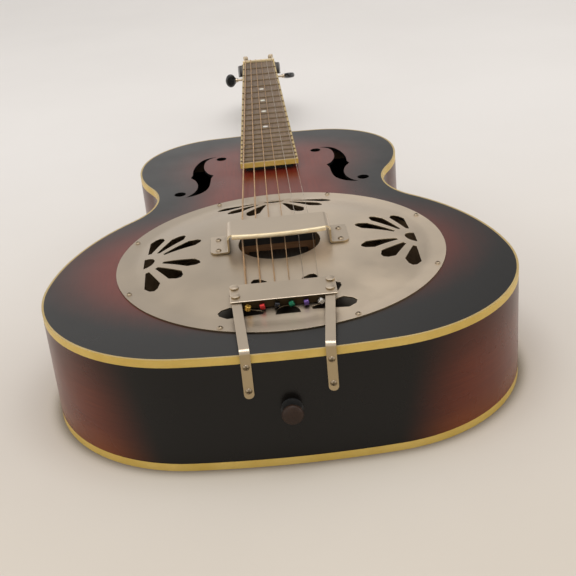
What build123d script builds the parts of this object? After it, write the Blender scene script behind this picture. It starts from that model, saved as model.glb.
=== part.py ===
from build123d import *
import os
from math import asin, atan2, cos, degrees, pi, radians, sin, tan

# Biscuit-bridge resonator guitar with a wooden body, lying on its back. Millimetres.
# +X is the treble side, +Y runs towards the headstock, +Z out of the top.
# The origin is on the flat outer face of the back, straight below the saddle.

# ---------------------------------------------------------------- driving dimensions
SCALE_LENGTH = 635.0
FRET_COUNT = 19
DOT_FRETS = (5, 7, 9, 12)

BODY_DEPTH = 94.0
TOP_Z = BODY_DEPTH
BODY_X = -1.5                    # the body's centre line lies this far to the bass side of the strings'
TAIL_Y = -166.2
# Treble half of the outline from the tail centre: radius and sweep of tangent arcs (minus = hollow waist).
OUTLINE_ARCS = [(738, 6.0), (125.6, 90.2), (220, 37.7), (-69.6, 72.9), (112, 36.3), (81, 78.7)]
PLATE = 3.0                      # thickness of top and back
SIDE = 2.5                       # thickness of the bent sides
BINDING_TALL = 6.3
BINDING_WIDE = 1.7
LINING_WIDE = 6.5
LINING_TALL = 14.0
NECK_BLOCK = (72.0, 42.0)        # width and length
TAIL_BLOCK = (84.0, 20.0)

COVER_X = 1.2                    # the cover is screwed on slightly to the treble side
COVER_TURN = 0.5                 # and slightly turned
COVER_RADIUS = 136.5
COVER_SHEET = 1.0
COVER_SCREW_RADIUS = 132.6
COVER_HOLE = 34.0
# Radius, and height of the cover's upper face over the top, from the flat rim to the centre hole.
COVER_DOME = [(126, 1.0), (119, 1.7), (110, 3.7), (101, 5.8), (90, 7.9), (68, 10.1), (50, 10.9), (34, 11.3)]
FAN_HUB = 113.6                  # radius at which each fan's petals meet
PETAL_STEP = 26.0
MOON_RADIUS = 9.2

WELL_INNER = 122.5
WELL_OUTER = 138.0
WELL_PORT = 12.0                 # radius of the round ports in the well's wall
WELL_PORT_Z = TOP_Z - 28.0
LEDGE_INNER = 112.0
LEDGE_Z = TOP_Z - 48.0
LEDGE_TALL = 6.0
CONE_RADIUS = 120.5
CONE_SHEET = 0.7
BISCUIT_RADIUS = 24.5
BISCUIT_Z = TOP_Z - 4.0
BISCUIT_TALL = 9.0
BISCUIT_SLOT = 5.0               # height of the saddle's foot over the biscuit's underside
SADDLE_HALF = 31.0
SADDLE_THICK = 3.0
SADDLE_Z = TOP_Z + 10.5          # top of the maple saddle, where its ebony cap starts
SADDLE_CAP_Z = TOP_Z + 18.7
SADDLE_STRING_Z = TOP_Z + 18.0   # underside of the strings on the saddle

HANDREST_HALF = 42.5
HANDREST_Z = TOP_Z + 27.8
HANDREST_SHEET = 1.5
HANDREST_FOOT_Z = TOP_Z + 11.3   # underside of the foot where it meets the leg
HANDREST_FOOT_DROP = 0.62        # how far the foot falls with the dome towards its outer edge
HANDREST_FOOT_LONG = 14.5
HANDREST_FRONT = -14.5
HANDREST_BOW = -18.5             # front edge in the middle
HANDREST_TOP_BACK = 14.5         # rear edge of the top
HANDREST_BACK = 20.5             # rear edge of the feet
HANDREST_BEAD = 2.1              # radius of the rolled front edge
HANDREST_SCREW_Y = (-9.0, 12.5)

NECK_TILT = 0.76                 # degrees that the neck leans back
BOARD_NUT_Z = TOP_Z + 4.6
BOARD_TALL = 5.0
BOARD_LENGTH = 430.0
BOARD_BINDING = 2.0
NUT_HALF = 21.5
BOARD_END_HALF = 29.2
HEEL_Y = 328.7                   # flat face of the heel against the sides
NUT_THICK = 5.0
NUT_STRING_RISE = 1.7            # underside of the strings over the board at the nut
FRET_RISE = 1.1

HEAD_TILT = 15.0
HEAD_THICK = 15.0
HEAD_LENGTH = 121.0
HEAD_START = NUT_THICK + 0.45    # the headstock's face starts just past the nut
OVERLAY = 1.5
TUNER_HOLE = 4.0
TRUSS_Z = -BOARD_TALL - 5.4      # the truss rod's axis below the board's face
TRUSS_WINDOW = (5.2, 24.0)       # half width and length of the pocket over the rod's nut
# Distance from the nut and half width of the rod's cover, up to where its round tip starts.
TRUSS_COVER = ((0.6, 12.0), (8, 11.0), (20, 7.5), (31, 6.0))

STRING_RADII = (0.71, 0.57, 0.44, 0.33, 0.216, 0.165)     # low E to high E
NOTCH_ROOM = 0.08
NUT_SPREAD = 35.0
SADDLE_SPREAD = 58.0
TAIL_SPREAD = 54.4
WINDING_TURNS = (2, 3, 3, 4, 5, 5)
# Posts in string order, low E to high E: nearest the nut first on the bass side, last on the treble side.
STRING_POSTS = (0, 1, 2, 5, 4, 3)

TUNER_V = (20.0, 56.0, 92.0)     # post places along the headstock from the nut
TUNER_X = 17.5
GEAR_TEETH = 18
MODULE = 0.5
GEAR_WIDE = 3.0
WORM_PITCH_RADIUS = 2.25
WORM_TURNS = 4
GEAR_PITCH_RADIUS = MODULE * GEAR_TEETH / 2
WORM_PITCH = pi * MODULE
CENTRE_DISTANCE = GEAR_PITCH_RADIUS + WORM_PITCH_RADIUS + 0.08
TOOTH_TIP = 0.5                  # height of a tooth over its pitch line
TOOTH_ROOT = 0.65
TOOTH_PLAY = 0.055
TUNER_PLATE = 1.2
GEAR_W = -(HEAD_THICK + TUNER_PLATE + 3.0)                # middle of the gear, below the headstock's face
LUG_OFFSET = 5.6                 # from the post's axis to each bearing lug's middle
LUG_THICK = 1.2
LUG_HALF = 3.2
POST_RADIUS = 3.0
POST_WAIST = 2.6
POST_WAIST_LOW = 2.2
POST_WAIST_HIGH = 8.0
POST_TIP = 12.0
SHAFT_RADIUS = 1.5
RUNNING_ROOM = 0.05
BUTTON_START = 34.0
BUTTON_LONG = 14.0
BUTTON_HALF = 9.0
BUTTON_THICK = 6.8
# How far each button is turned about its shaft, bass side from the nut, then treble side from the nut.
BUTTON_TURNS = (100, 35, 150, 0, 176, 4)

TAIL_TILT = 5.5
TAIL_EDGE = (-106.0, TOP_Z + 12.0)      # y and z of the tailpiece plate's lower top edge
TAIL_SHEET = 1.2
TAIL_HALF = 40.0
TAIL_LIP = 6.7                   # depth of the turned-down edge
RIVET_V = (8.0, 20.2)
BALL_RADIUS = 2.3
BALL_HALF = 1.9
BALL_V = -2.35
BALL_TURNS = (12, 80, 100, 70, 85, 125)
ARM_WIDE = 7.3
ARM_SHEET = 1.6
ARM_X = {-1: -31.2, 1: 28.9}     # where each arm reaches the tail, bass and treble
ARM_TOE = {-1: 3.8, 1: -5.2}     # degrees that each arm is turned
ARM_LONG = 83.0
ARM_END_Z = TOP_Z - 34.0
ARM_SCREW_Z = (TOP_Z - 8.4, TOP_Z - 27.7)
END_PIN_X = -2.0
END_PIN_Z = TOP_Z - 45.7
COLLAR = (8.0, 1.5)              # radius and thickness


# ---------------------------------------------------------------- frames and small helpers
def leaning_plane(y, z, tilt):
    """Plane through (0, y, z) whose own Y runs to the headstock and leans back by tilt degrees."""
    return Plane(origin=(0, y, z), x_dir=(1, 0, 0), z_dir=(0, sin(radians(tilt)), cos(radians(tilt))))


NECK = leaning_plane(SCALE_LENGTH, BOARD_NUT_Z, NECK_TILT)
HEAD = leaning_plane(SCALE_LENGTH + HEAD_START, BOARD_NUT_Z - BOARD_TALL + 1.2, HEAD_TILT)
TAIL = leaning_plane(TAIL_EDGE[0], TAIL_EDGE[1], -TAIL_TILT)
COVER = Pos(COVER_X, 0, 0) * Rot(0, 0, COVER_TURN)


def block(x0, x1, y0, y1, z0, z1):
    """Box between two corners."""
    centre = Pos((x0 + x1) / 2, (y0 + y1) / 2, (z0 + z1) / 2)
    return centre * Box(x1 - x0, y1 - y0, z1 - z0)


def bar(radius, start, end):
    """Round bar from one point to another."""
    axis = Vector(*end) - Vector(*start)
    return Solid.make_cylinder(radius, axis.length, Plane(origin=start, z_dir=axis))


def tube(outer, inner, z0, z1):
    """Upright ring about the Z axis."""
    return bar(outer, (0, 0, z0), (0, 0, z1)) - bar(inner, (0, 0, z0 - 1), (0, 0, z1 + 1))


def slab(sketch, z0, z1):
    """Flat sketch in the XY plane made solid between two heights."""
    return extrude(Pos(0, 0, z0) * sketch, amount=z1 - z0, dir=(0, 0, 1))


def group(pieces):
    """Separate solids kept together in one node."""
    return Compound(children=[solid for piece in pieces for solid in piece.solids()])


def at(plane, pieces):
    """Every piece moved from a plane's own axes into the guitar's."""
    return [plane.location * piece for piece in pieces]


def drilled(part, tools):
    """Part with the shape of each tool taken out."""
    for tool in tools:
        part = part - tool
    return part


def turned(rim, rise, steps):
    """Solid turned about Z: a dome of radius rim over z = 0, then (radius, z) steps down to the tip."""
    sphere = (rim**2 + rise**2) / (2 * rise)
    half = asin(rim / sphere) / 2
    cap = ThreePointArc((rim, 0), (sphere * sin(half), rise - sphere + sphere * cos(half)), (0, rise))
    below = Polyline((0, rise), (0, steps[-1][1]), *reversed(steps), (rim, 0))
    return revolve(Plane.XZ * make_face(cap + below), Axis.Z)


def dome_screw(head, dome, shank, length):
    """Screw with its domed, cross-slotted head on z = 0 and its shank down -Z."""
    screw = turned(head, dome, [(shank, 0), (shank, shank - length), (0.3, -length)])
    for turn in (0, 90):
        screw -= Rot(0, 0, turn) * block(-head * 0.55, head * 0.55, -0.3, 0.3, dome * 0.45, dome + 1)
    return screw


def rivet(head, wall, shank, grip, tail):
    """Rivet through sheets of thickness grip: pan head with an upright wall, radius tail underneath."""
    steps = [(head, -wall), (shank, -wall), (shank, -wall - grip), (tail, -wall - grip)]
    return Pos(0, 0, wall) * turned(head, 0.5, steps + [(tail * 0.9, -wall - grip - 0.7)])


def spread(width, count=6):
    """Evenly spaced places across a width, bass side first."""
    return [width * (i / (count - 1) - 0.5) for i in range(count)]


# ---------------------------------------------------------------- body
def outline_arc(x, y, heading, radius, sweep):
    """Arc that leaves (x, y) along heading, with its end point and heading. A minus radius turns right."""
    side = 1 if radius > 0 else -1
    r = abs(radius)
    cx = x - side * r * sin(heading)
    cy = y + side * r * cos(heading)

    def point(turn):
        angle = heading + side * turn
        return cx + side * r * sin(angle), cy - side * r * cos(angle)

    end = point(sweep)
    return ThreePointArc((x, y), point(sweep / 2), end), end, heading + side * sweep


def body_outline(inset):
    """Outline of the body moved inwards, both halves closed at the tail and at the neck."""
    x, y, heading = 0.0, TAIL_Y + inset, 0.0
    arcs = []
    for radius, sweep in OUTLINE_ARCS:
        arc, (x, y), heading = outline_arc(x, y, heading, radius - inset, radians(sweep))
        arcs.append(arc)
    arc, _, _ = outline_arc(x, y, heading, x / sin(heading), pi - heading)
    arcs.append(arc)
    return Pos(BODY_X, 0) * make_face(arcs + [mirror(a, about=Plane.YZ) for a in arcs])


def f_hole():
    """Treble sound hole: a slim double curve with side nicks, and a round eye near each tip."""
    outer_top = Spline((54, 263.5), (66, 260.3), (74.5, 246), (78.3, 228), (78.4, 214))
    outer_nick = Polyline((78.4, 214), (80.2, 206.6), (76, 199.2))
    outer_low = Spline((76, 199.2), (72.8, 187), (73, 173), (77.5, 160.5), (83.7, 153.2))
    inner_low = Spline((83.7, 153.2), (74, 156.5), (65, 165.5), (60.5, 182), (59.6, 200))
    inner_nick = Polyline((59.6, 200), (57.4, 208.3), (62, 213.5))
    inner_top = Spline((62, 213.5), (66.3, 226), (67.3, 243), (63.5, 257), (54, 263.5))
    slot = make_face([outer_top, outer_nick, outer_low, inner_low, inner_nick, inner_top])
    return slot + Pos(49.5, 255.8) * Circle(5.2) + Pos(89.3, 163) * Circle(5.6)


def ring_of(outer_inset, inner_inset, z0, z1):
    """Hoop that follows the body outline."""
    return slab(body_outline(outer_inset) - body_outline(inner_inset), z0, z1)


def cover_screws():
    """Eight screws through the cover's rim, the top and the well."""
    screw = Pos(COVER_SCREW_RADIUS, 0, TOP_Z + COVER_SHEET) * dome_screw(2.5, 1.6, 1.3, 15)
    return [COVER * Rot(0, 0, 22.5 + 45 * k) * screw for k in range(8)]


def arm_screws():
    """Two screws through each tailpiece arm into the tail block."""
    screws = []
    for side in (-1, 1):
        frame = arm_frame(side)
        for z in ARM_SCREW_Z:
            outward = Plane(origin=(0, -ARM_SHEET, z), x_dir=(1, 0, 0), z_dir=(0, -1, 0))
            screws.append(frame * outward.location * dome_screw(2.5, 1.5, 1.3, 15))
    return screws


def end_pin():
    """Turned strap button on a tapered stem in the tail block."""
    head = [(0, 10.6), (5.4, 10.1), (7.8, 8.0), (7.6, 6.3), (4.7, 3.6), (3.9, 0)]
    edges = Spline(*head) + Polyline(head[-1], (3.6, -16), (0, -16), head[0])
    place = Plane(origin=(END_PIN_X, TAIL_Y - COLLAR[1], END_PIN_Z), x_dir=(1, 0, 0), z_dir=(0, -1, 0))
    return place.location * revolve(Plane.XZ * make_face(edges), Axis.Z)


def end_pin_collar():
    """Black washer between the strap button and the sides."""
    radius, thick = COLLAR
    place = Plane(origin=(END_PIN_X, TAIL_Y, END_PIN_Z), x_dir=(1, 0, 0), z_dir=(0, -1, 0))
    return place.location * (bar(radius, (0, 0, 0), (0, 0, thick)) - bar(3.95, (0, 0, -1), (0, 0, thick + 1)))


def neck_bolts():
    """Two bolts from inside the neck block into the heel, each with its washer."""
    inside = HEEL_Y - NECK_BLOCK[1]
    bolts = []
    for z, reach in ((TOP_Z - 60, 8), (TOP_Z - 32, 18)):
        bolt = bar(3.0, (0, inside, z), (0, HEEL_Y + reach, z))
        bolt += bar(8.0, (0, inside - 1.5, z), (0, inside, z))
        head = Plane(origin=(0, inside - 1.5, z), z_dir=(0, -1, 0)).location
        bolts.append(bolt + head * extrude(RegularPolygon(5.5, 6), amount=4.5))
    return bolts


def neck_block_room():
    wide, long = NECK_BLOCK
    return block(-wide / 2, wide / 2, HEEL_Y - long, HEEL_Y, 0, TOP_Z)


def tail_block_room():
    wide, long = TAIL_BLOCK
    return block(-wide / 2, wide / 2, TAIL_Y, TAIL_Y + long, 0, TOP_Z)


def inside_body():
    """Space between top, back and sides."""
    return slab(body_outline(SIDE), PLATE, TOP_Z - PLATE)


def linings():
    """Linings glued round the inside corners, stopped at both blocks."""
    room = neck_block_room() + tail_block_room()
    low = ring_of(SIDE, SIDE + LINING_WIDE, PLATE, PLATE + LINING_TALL)
    high = ring_of(SIDE, SIDE + LINING_WIDE, TOP_Z - PLATE - LINING_TALL, TOP_Z - PLATE)
    return group([low - room, high - room])


def braces():
    """Ladder braces across the back, and one under the top beside the fingerboard's end."""
    inside = slab(body_outline(SIDE + LINING_WIDE + 0.5), 0, TOP_Z)
    bars = [block(-200, 200, y - 4, y + 4, PLATE, PLATE + 12) for y in (-110, -20, 70, 165, 245)]
    bars.append(block(-200, 200, 270, 276, TOP_Z - PLATE - 14, TOP_Z - PLATE))
    return group([inside & one for one in bars])


def soundwell():
    """Plywood well under the top, with the ledge that carries the cone and round ports in its wall."""
    well = tube(WELL_OUTER, WELL_INNER, LEDGE_Z, TOP_Z - PLATE)
    well += tube(WELL_OUTER, LEDGE_INNER, LEDGE_Z - LEDGE_TALL, LEDGE_Z)
    port = bar(WELL_PORT, (WELL_INNER - 8, 0, WELL_PORT_Z), (WELL_OUTER + 8, 0, WELL_PORT_Z))
    return drilled(well, [Rot(0, 0, 45 * k) * port for k in range(8)] + cover_screws())


def top():
    board = slab(body_outline(BINDING_WIDE), TOP_Z - PLATE, TOP_Z)
    board -= bar(WELL_INNER, (0, 0, 0), (0, 0, TOP_Z + 1))
    hole = slab(f_hole(), TOP_Z - PLATE - 1, TOP_Z + 1)
    return drilled(board, [hole, mirror(hole, about=Plane.YZ), *cover_screws()])


def sides():
    """Bent sides, rebated along both edges for the bindings."""
    hoop = ring_of(0, SIDE, BINDING_TALL, TOP_Z - BINDING_TALL)
    hoop += ring_of(BINDING_WIDE, SIDE, PLATE, TOP_Z - PLATE)
    return drilled(hoop, [*arm_screws(), end_pin(), *neck_bolts()])


# ---------------------------------------------------------------- resonator and cover
def cone():
    """Spun aluminium cone: flat crown, straight flank, flat rim with a rolled edge, on the ledge."""
    crown, flank, rim = BISCUIT_RADIUS + 0.5, 113.5, CONE_RADIUS - 1.0
    foot = LEDGE_Z + CONE_SHEET
    upper = Polyline((1.8, BISCUIT_Z), (crown, BISCUIT_Z), (flank, foot), (rim, foot))
    under = BISCUIT_Z - CONE_SHEET
    lower = Polyline((rim, LEDGE_Z), (flank - 0.4, LEDGE_Z), (crown - 0.4, under), (1.8, under))
    ends = Line(upper @ 1, lower @ 0) + Line(lower @ 1, upper @ 0)
    section = make_face(upper + lower + ends) + Pos(rim, LEDGE_Z + 1.0) * Circle(1.0)
    return revolve(Plane.XZ * section, Axis.Z)


def biscuit():
    """Wooden disc on the cone's crown, slotted for the saddle."""
    disc = bar(BISCUIT_RADIUS, (0, 0, BISCUIT_Z), (0, 0, BISCUIT_Z + BISCUIT_TALL))
    disc = fillet(disc.edges().group_by(Axis.Z)[-1], 1.0)
    return disc - saddle() - biscuit_screw()


def biscuit_screw():
    """Screw and washer under the cone's crown that hold the biscuit down."""
    seat = BISCUIT_Z - CONE_SHEET
    screw = Pos(0, 0, seat - 1) * Rot(180, 0, 0) * dome_screw(3.6, 2.2, 1.6, 5.5)
    return screw + bar(6, (0, 0, seat - 1), (0, 0, seat))


def saddle():
    half = SADDLE_THICK / 2
    return block(-SADDLE_HALF, SADDLE_HALF, -half, half, BISCUIT_Z + BISCUIT_SLOT, SADDLE_Z)


def saddle_cap():
    """Ebony cap with a notch for each string."""
    half, crest = SADDLE_THICK / 2, 0.8
    profile = Polyline((-half, SADDLE_Z), (half, SADDLE_Z), (half, SADDLE_CAP_Z - 2), (crest, SADDLE_CAP_Z),
                       (-crest, SADDLE_CAP_Z), (-half, SADDLE_CAP_Z - 2), close=True)
    cap = extrude(Plane.YZ * make_face(profile), amount=SADDLE_HALF, both=True)
    return notched(cap, SADDLE_SPREAD, leaning_plane(0, SADDLE_STRING_Z, -2.5))


def notched(part, width, rest):
    """Part with an open-topped notch under each string. rest is the plane that the strings lie on."""
    for x, radius in zip(spread(width), STRING_RADII):
        loose = radius + NOTCH_ROOM
        notch = block(x - loose, x + loose, -12, 12, radius, 6)
        notch += bar(loose, (x, -12, radius), (x, 12, radius))
        part = part - rest.location * notch
    return part


def dome_curve(drop):
    """The cover's domed line, lowered by drop, from its flat rim to its centre hole."""
    points = [(r, TOP_Z + z - drop) for r, z in COVER_DOME]
    return Spline(*points, tangents=[(-1, 0), (-1, 0.04)])


def petal():
    """One slim petal, pointing away from the fan's hub along +X."""
    half = [(18.5, 1.5), (45.0, 6.6), (51.6, 3.4)]
    outline = Polyline(*half, (53.6, 0), *[(x, -y) for x, y in reversed(half)], close=True)
    face = make_face(outline)
    return fillet(face.vertices(), 0.6)


def fan():
    """Half-moon hub and six petals, as seen from above at the treble side of the cover."""
    moon = Circle(MOON_RADIUS) - Pos(10, 0) * Rectangle(20, 40)
    petals = [Rot(0, 0, 180 + side * PETAL_STEP * k) * petal() for side in (-1, 1) for k in (1, 2, 3)]
    return [Pos(FAN_HUB, 0) * shape for shape in (moon, *petals)]


def coverplate():
    """Domed plate with a flat rim, a round centre hole and four fans of petals."""
    upper, lower = dome_curve(0), dome_curve(COVER_SHEET)
    rim = Polyline(lower @ 0, (COVER_RADIUS, TOP_Z), (COVER_RADIUS, TOP_Z + COVER_SHEET), upper @ 0)
    section = make_face(upper + lower + rim + Line(upper @ 1, lower @ 1))
    plate = revolve(Plane.XZ * section, Axis.Z)
    cuts = [slab(shape, TOP_Z - 2, TOP_Z + 20) for shape in fan()]
    for quarter in range(4):
        plate = drilled(plate, [Rot(0, 0, 90 * quarter) * cut for cut in cuts])
    return drilled(COVER * plate, [*cover_screws(), *handrest_screws()])


def handrest_section(out, up, foot_inner, foot_outer, corner, toe):
    """Line across the handrest, from foot to foot over the top, for one face of the sheet."""
    end = HANDREST_HALF + HANDREST_FOOT_LONG + 0.5
    left = [(-end, foot_outer), (-out, foot_inner), (-out, up)]
    right = [(-x, z) for x, z in reversed(left)]
    return FilletPolyline(*left, *right, radius=[toe, corner, corner, toe])


def handrest_plan():
    """Plan of the handrest: bowed front edge, straight back and feet with rounded front corners."""
    out, front = HANDREST_HALF, HANDREST_FRONT
    end = out + HANDREST_FOOT_LONG
    right = Line((out, front), (end - 6.5, front))
    right += ThreePointArc((end - 6.5, front), (end - 1.9, front + 2), (end, front + 6))
    right += Line((end, front + 6), (end, HANDREST_BACK))
    bow = ThreePointArc((-out, front), (0, HANDREST_BOW), (out, front))
    back = Line((-end, HANDREST_BACK), (end, HANDREST_BACK))
    return make_face(right + mirror(right, about=Plane.YZ) + bow + back)


def handrest():
    """Bent strip over the saddle: screwed feet, legs that taper upwards and a rolled front edge."""
    out, up, sheet = HANDREST_HALF, HANDREST_Z, HANDREST_SHEET
    foot_inner, foot_outer = HANDREST_FOOT_Z, HANDREST_FOOT_Z - HANDREST_FOOT_DROP
    over = handrest_section(out, up, foot_inner + sheet, foot_outer + sheet, 4.5, 1.0)
    under = handrest_section(out - sheet, up - sheet, foot_inner, foot_outer, 3.0, 2.5)
    section = make_face(over + under + Line(over @ 0, under @ 0) + Line(over @ 1, under @ 1))
    rest = extrude(Plane.XZ * section, amount=60, both=True) & slab(handrest_plan(), TOP_Z, TOP_Z + 60)
    back, low = HANDREST_BACK + 0.1, foot_inner + 2.5
    taper = Polyline((HANDREST_TOP_BACK, up + 5), (HANDREST_TOP_BACK + 0.5, up - 1), (back, low), (60, low),
                     (60, up + 5), close=True)
    rest -= extrude(Plane.YZ * make_face(taper), amount=90, both=True)
    bead_z = up - HANDREST_BEAD + 0.12
    end_x, end_y = out - 4.5, HANDREST_FRONT - 0.8
    path = ThreePointArc((-end_x, end_y, bead_z), (0, HANDREST_BOW, bead_z), (end_x, end_y, bead_z))
    bead = sweep(Plane(origin=path @ 0, z_dir=path % 0) * Circle(HANDREST_BEAD), path=path)
    return drilled(COVER * (rest + bead), handrest_screws())


def handrest_screws():
    """Four screws, square to the handrest's sloping feet."""
    slope = degrees(atan2(HANDREST_FOOT_DROP, HANDREST_FOOT_LONG + 0.5))
    height = HANDREST_FOOT_Z + HANDREST_SHEET - HANDREST_FOOT_DROP * 8 / (HANDREST_FOOT_LONG + 0.5)
    screws = []
    for side in (-1, 1):
        for y in HANDREST_SCREW_Y:
            place = Pos(side * (HANDREST_HALF + 8), y, height) * Rot(0, side * slope, 0)
            screws.append(COVER * place * dome_screw(2.6, 1.5, 1.3, 6))
    return screws


# ---------------------------------------------------------------- tailpiece
def tail_string_places():
    return [(x, -4.4) for x in spread(TAIL_SPREAD)]


def tailpiece_plate():
    """Flat plate whose lower edge turns down, with a hole for each string in the turned edge."""
    plate = block(-TAIL_HALF, TAIL_HALF, 0, 25, -TAIL_SHEET, 0)
    plate = fillet(plate.edges().filter_by(Axis.Z), 1.2)
    plate += block(-31.0, 30.3, 0, TAIL_SHEET, -TAIL_LIP, 0)
    plate = fillet(plate.edges().filter_by(Axis.X).sort_by_distance((0, 0, 0))[0], 0.7)
    for x, w in tail_string_places():
        plate -= bar(1.0, (x, -2, w), (x, 4, w))
    located = TAIL.location * plate
    return drilled(located, tailpiece_rivets())


def tailpiece_rivets():
    """Two rivets down the middle of each arm."""
    places = []
    for side in (-1, 1):
        for v in RIVET_V:
            along = TAIL_EDGE[0] + v - TAIL_Y
            places.append((ARM_X[side] - along * tan(radians(ARM_TOE[side])), v))
    return at(TAIL, [Pos(x, v, 0) * rivet(3.4, 1.2, 1.6, TAIL_SHEET + ARM_SHEET, 2.4) for x, v in places])


def arm_frame(side):
    """Where an arm's own vertical leg stands against the tail, turned as the arm is."""
    return Pos(ARM_X[side], TAIL_Y + 0.12, 0) * Rot(0, 0, ARM_TOE[side])


def arm_line(inset, bend):
    """An arm's line over the body's edge and down the tail, inset from its outer face."""
    rise = tan(radians(TAIL_TILT)) * cos(radians(ARM_TOE[1]))
    under_plate = TAIL_EDGE[1] - TAIL_SHEET / cos(radians(TAIL_TILT)) - 0.06
    at_tail = under_plate - (TAIL_EDGE[0] - TAIL_Y) * tan(radians(TAIL_TILT))
    drop = inset / cos(radians(TAIL_TILT))
    y = inset - ARM_SHEET
    return FilletPolyline((ARM_LONG, at_tail + ARM_LONG * rise - drop), (y, at_tail + y * rise - drop),
                          (y, ARM_END_Z), radius=bend)


def tailpiece_arm(side):
    """Strap from under the plate, over the edge of the body and down the tail, with a round end."""
    outer, inner = arm_line(0, 4.0), arm_line(ARM_SHEET, 2.4)
    half = ARM_WIDE / 2
    section = make_face(outer + inner + Line(outer @ 0, inner @ 0) + Line(outer @ 1, inner @ 1))
    strap = extrude(Plane.YZ * section, amount=half, both=True)
    round_end = bar(half, (0, -9, ARM_END_Z + half), (0, 9, ARM_END_Z + half))
    keep = block(-half - 1, half + 1, -9, ARM_LONG + 9, ARM_END_Z + half, TOP_Z + 40)
    strap = strap & (keep + round_end)
    return drilled(arm_frame(side) * strap, [*arm_screws(), *tailpiece_rivets()])


def string_ball_ends():
    """Drilled barrels that stop each string behind the turned edge, each lying its own way."""
    balls = []
    for (x, w), turn in zip(tail_string_places(), BALL_TURNS):
        barrel = bar(BALL_RADIUS, (0, 0, -BALL_HALF), (0, 0, BALL_HALF)) - bar(0.8, (0, 0, -3), (0, 0, 3))
        barrel = fillet(barrel.edges().filter_by(GeomType.CIRCLE).sort_by(SortBy.RADIUS)[-2:], 0.6)
        balls.append(Pos(x, BALL_V, w) * Rot(0, turn, 0) * barrel)
    return group(at(TAIL, balls))


# ---------------------------------------------------------------- neck, board and headstock
def board_half(v):
    """Half width of the fingerboard at v along the neck, where v = 0 is the nut."""
    return NUT_HALF + (BOARD_END_HALF - NUT_HALF) * -v / BOARD_LENGTH


def board_shape(inset, v0, v1):
    """Tapered plan of the fingerboard between two places, narrowed by inset each side."""
    half0, half1 = board_half(v0) - inset, board_half(v1) - inset
    return make_face(Polyline((-half0, v0), (half0, v0), (half1, v1), (-half1, v1), close=True))


def fret_v(number):
    return -(SCALE_LENGTH - SCALE_LENGTH * 2 ** (-number / 12))


def fret(number):
    """Crowned wire across the board, with its tang; the crown runs over the bindings."""
    v = fret_v(number)
    crown = Line((v - 1.2, 0), (v + 1.2, 0)) + ThreePointArc((v + 1.2, 0), (v, FRET_RISE), (v - 1.2, 0))
    wire = extrude(Plane.YZ * make_face(crown), amount=board_half(v) - 0.4, both=True)
    half = board_half(v) - BOARD_BINDING - 0.3
    return wire + block(-half, half, v - 0.3, v + 0.3, -1.4, 0.2)


def frets():
    return [fret(number) for number in range(1, FRET_COUNT + 1)]


def dots():
    """Single round markers between the frets."""
    places = [(fret_v(n) + fret_v(n - 1)) / 2 for n in DOT_FRETS]
    return [bar(3.0, (0, v, -1.5), (0, v, 0)) for v in places]


def fingerboard():
    """Core of the board, slotted for the frets and drilled for the markers."""
    core = slab(board_shape(BOARD_BINDING, -BOARD_LENGTH + BOARD_BINDING, 0), -BOARD_TALL, 0)
    return NECK.location * drilled(core, [*frets(), *dots()])


def fingerboard_binding():
    """Cream strip down both edges and across the body end."""
    whole = board_shape(0, -BOARD_LENGTH, 0) - board_shape(BOARD_BINDING, -BOARD_LENGTH + BOARD_BINDING, 0)
    return NECK.location * slab(whole, -BOARD_TALL, 0)


def nut():
    """Bone nut with a notch for each string."""
    bone = block(-NUT_HALF, NUT_HALF, 0, NUT_THICK, -BOARD_TALL, NUT_STRING_RISE + 0.9)
    bone = fillet(bone.edges().filter_by(Axis.X).group_by(Axis.Z)[-1], 1.0)
    rest = Plane(origin=(0, 2, NUT_STRING_RISE))
    return NECK.location * notched(bone, NUT_SPREAD, rest)


def neck_section(plane, half, depth, power):
    """Section of the neck: flat on top and round below, squarer as power grows."""
    points = []
    for i in range(13):
        angle = pi * i / 12
        across = abs(cos(angle)) ** (2 / power) * half
        down = abs(sin(angle)) ** (2 / power) * depth
        points.append((across if i < 6 else -across, -down))
    points[6] = (0, -depth)
    return plane * make_face(Spline(*points) + Line(points[-1], points[0]))


def neck_cut_plane(v):
    """Plane across the neck at v, whose own X is the guitar's X and whose own Y is up."""
    origin = NECK.from_local_coords(Vector(0, v, -BOARD_TALL))
    return Plane(origin=origin, x_dir=(1, 0, 0), z_dir=-NECK.y_dir)


def head_cut_plane(v):
    """Plane across the headstock at v, at the underside of the overlay."""
    origin = HEAD.from_local_coords(Vector(0, v, -OVERLAY))
    return Plane(origin=origin, x_dir=(1, 0, 0), z_dir=-HEAD.y_dir)


def heel():
    """Heel that deepens towards the body, as half-ellipse levels one above another."""
    # Height over the top, half width and length of each level.
    levels = [(-83, 11, 9), (-64, 13, 12), (-44, 17, 18), (-28, 21.5, 27), (-16, 24.6, 38), (-6, 26.4, 49),
              (2, 27, 57)]
    faces = []
    for z, across, along in levels:
        ahead = Rectangle(2 * across + 2, along + 1, align=(Align.CENTER, Align.MIN))
        faces.append(Pos(0, HEEL_Y, TOP_Z + z) * (Ellipse(across, along) & ahead))
    return loft(faces)


def head_outline():
    """Plan of the headstock: flared ears at the nut, nearly straight sides and a gently arched end."""
    side = Spline((NUT_HALF + 0.3, 0), (22.6, 4.5), (25.1, 10.0), (28.0, 19.0), tangents=[(0, 1), (0.15, 1)])
    side += Spline((28.0, 19.0), (29.3, 50), (31.0, HEAD_LENGTH - 12), tangents=[(0.15, 1), (0.04, 1)])
    side += ThreePointArc((31.0, HEAD_LENGTH - 12), (28.2, HEAD_LENGTH - 6.2), (22.0, HEAD_LENGTH - 3.2))
    end = ThreePointArc((22.0, HEAD_LENGTH - 3.2), (0, HEAD_LENGTH), (-22.0, HEAD_LENGTH - 3.2))
    base = Line((-NUT_HALF - 0.3, 0), (NUT_HALF + 0.3, 0))
    return make_face(side + end + mirror(side, about=Plane.YZ) + base)


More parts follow.
